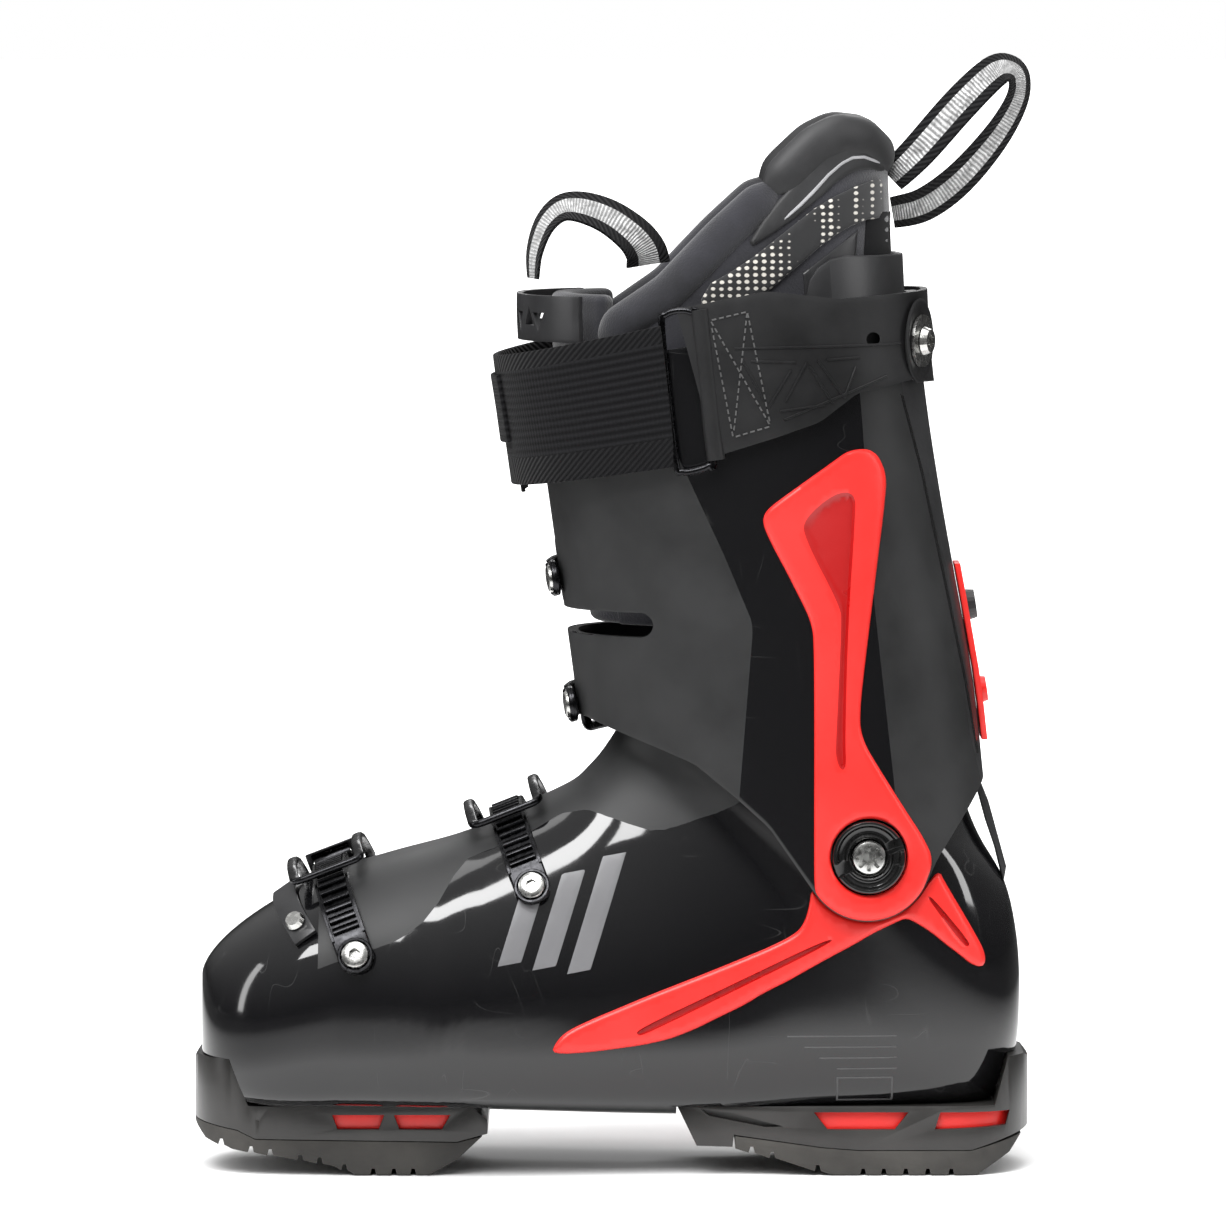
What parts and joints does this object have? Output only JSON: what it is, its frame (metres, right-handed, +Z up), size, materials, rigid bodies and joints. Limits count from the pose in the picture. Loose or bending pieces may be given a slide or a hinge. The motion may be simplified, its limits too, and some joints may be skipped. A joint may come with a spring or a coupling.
{
  "type": "alpine ski boot",
  "caption": "Right alpine ski boot with a stiff overlap shell, a hinged cuff, lever buckles with toothed ladders, a power strap, a padded liner and replaceable sole blocks.",
  "frame": {"origin": "centre of the footprint on the floor, halfway between the toe and heel lugs", "axes": "-X towards the toe, -Y towards the inner side of the foot, +Z up"},
  "size_m": [0.305, 0.1314, 0.4035],
  "materials": {
    "shell_plastic": "gloss black polyurethane",
    "cuff_plastic": "gloss black polyurethane with matte fields",
    "trim_plastic": "satin black",
    "trim_gloss": "gloss black",
    "sole_plastic": "satin black",
    "tread_rubber": "matte",
    "red_plastic": "satin dark red",
    "board_foam": "dark foam",
    "liner_fabric": "black padded textile",
    "webbing": "black woven webbing",
    "strap_rubber": "satin black",
    "buckle_metal": "gloss black anodised",
    "bolt_steel": "polished"
  },
  "bodies": {
    "shell": {"lower_shell": "shell_plastic", "boot_board": "board_foam", "liner_foot": "liner_fabric", "footbed": "board_foam", "toe_sole_block": "sole_plastic", "heel_sole_block": "sole_plastic", "toe_tread": "tread_rubber", "heel_tread": "tread_rubber", "toe_damper_front": "red_plastic", "toe_damper_rear": "red_plastic", "heel_damper_front": "red_plastic", "heel_damper_rear": "red_plastic", "pivot_bolt_inner": "bolt_steel", "pivot_bolt_outer": "bolt_steel", "spine_tail": "trim_plastic", "toe_bridge": "trim_plastic", "toe_bridge_screw": "bolt_steel", "ladder_toe": "buckle_metal", "ladder_screw_toe": "bolt_steel", "buckle_base_toe": "buckle_metal", "lever_pin_toe": "bolt_steel", "ladder_instep": "buckle_metal", "ladder_screw_instep": "bolt_steel", "buckle_base_instep": "buckle_metal", "lever_pin_instep": "bolt_steel"},
    "cuff": {"cuff": "cuff_plastic", "liner_ankle": "liner_fabric", "liner_cuff": "liner_fabric", "liner_tongue": "liner_fabric", "spoiler": "trim_plastic", "spine_insert": "red_plastic", "spine_bolt_upper": "trim_plastic", "spine_bolt_lower": "red_plastic", "tongue_bracket": "trim_plastic", "tongue_loop": "webbing", "heel_loop": "webbing", "strap_webbing": "webbing", "strap_rear": "strap_rubber", "strap_bolt": "buckle_metal", "strap_washer": "bolt_steel", "ladder_lower_cuff": "buckle_metal", "ladder_screw_lower_cuff": "bolt_steel", "buckle_base_lower_cuff": "buckle_metal", "lever_pin_lower_cuff": "bolt_steel", "ladder_upper_cuff": "buckle_metal", "ladder_screw_upper_cuff": "bolt_steel", "buckle_base_upper_cuff": "buckle_metal", "lever_pin_upper_cuff": "bolt_steel"},
    "cant_inner": {"cant_disc_inner": "trim_gloss"},
    "cant_outer": {"cant_disc_outer": "trim_gloss"},
    "strap_ring": {"strap_ring": "buckle_metal"},
    "lever_toe": {"lever_toe": "buckle_metal"},
    "bail_toe": {"bail_toe": "buckle_metal"},
    "lever_instep": {"lever_instep": "buckle_metal"},
    "bail_instep": {"bail_instep": "buckle_metal"},
    "lever_lower_cuff": {"lever_lower_cuff": "buckle_metal"},
    "bail_lower_cuff": {"bail_lower_cuff": "buckle_metal"},
    "lever_upper_cuff": {"lever_upper_cuff": "buckle_metal"},
    "bail_upper_cuff": {"bail_upper_cuff": "buckle_metal"}
  },
  "joints": [
    {"name": "cuff_flex", "type": "hinge", "parent": "shell", "child": "cuff", "pos_m": [0.0929, 0, 0.1174], "axis": [0, -1, 0], "range_deg": [0, 6], "stiffness_Nm_per_rad": 570, "deforming": ["liner_ankle"]},
    {"name": "cant_inner_turn", "type": "hinge", "parent": "cuff", "child": "cant_inner", "pos_m": [0.0929, -0.0489, 0.1174], "axis": [0, -1, 0], "range_deg": [-60, 60]},
    {"name": "cant_outer_turn", "type": "hinge", "parent": "cuff", "child": "cant_outer", "pos_m": [0.0929, 0.0489, 0.1174], "axis": [0, 1, 0], "range_deg": [-60, 60]},
    {"name": "strap_ring_swing", "type": "hinge", "parent": "cuff", "child": "strap_ring", "pos_m": [0.0335, -0.0633, 0.2875], "axis": [-0.1044, -0.0244, 0.9942], "range_deg": [0, 35]},
    {"name": "lever_toe_open", "type": "hinge", "parent": "shell", "child": "lever_toe", "pos_m": [-0.10268, 0.02832, 0.10945], "axis": [0.9336, 0, 0.3584], "range_deg": [0, 100]},
    {"name": "bail_toe_lift", "type": "hinge", "parent": "lever_toe", "child": "bail_toe", "pos_m": [-0.10045, 0.04036, 0.10365], "axis": [0.9336, 0, 0.3584], "range_deg": [-115, 0]},
    {"name": "lever_instep_open", "type": "hinge", "parent": "shell", "child": "lever_instep", "pos_m": [-0.03213, 0.04351, 0.11534], "axis": [0.9304, 0, 0.3665], "range_deg": [0, 100]},
    {"name": "bail_instep_lift", "type": "hinge", "parent": "lever_instep", "child": "bail_instep", "pos_m": [-0.02781, 0.04947, 0.10436], "axis": [0.9304, 0, 0.3665], "range_deg": [-115, 0]},
    {"name": "lever_lower_cuff_open", "type": "hinge", "parent": "cuff", "child": "lever_lower_cuff", "pos_m": [0.01884, 0.05281, 0.17432], "axis": [-0.1392, 0, 0.9903], "range_deg": [0, 100]},
    {"name": "bail_lower_cuff_lift", "type": "hinge", "parent": "lever_lower_cuff", "child": "bail_lower_cuff", "pos_m": [0.03109, 0.05598, 0.17604], "axis": [-0.1392, 0, 0.9903], "range_deg": [-115, 0]},
    {"name": "lever_upper_cuff_open", "type": "hinge", "parent": "cuff", "child": "lever_upper_cuff", "pos_m": [0.01152, 0.05541, 0.22029], "axis": [-0.1392, 0, 0.9903], "range_deg": [0, 100]},
    {"name": "bail_upper_cuff_lift", "type": "hinge", "parent": "lever_upper_cuff", "child": "bail_upper_cuff", "pos_m": [0.0237, 0.05886, 0.22201], "axis": [-0.1392, 0, 0.9903], "range_deg": [-115, 0]}
  ],
  "couplings": [
    {"joint": "bail_toe_lift", "follows": "lever_toe_open", "ratio": -1.15},
    {"joint": "bail_instep_lift", "follows": "lever_instep_open", "ratio": -1.15},
    {"joint": "bail_lower_cuff_lift", "follows": "lever_lower_cuff_open", "ratio": -1.15},
    {"joint": "bail_upper_cuff_lift", "follows": "lever_upper_cuff_open", "ratio": -1.15}
  ]
}
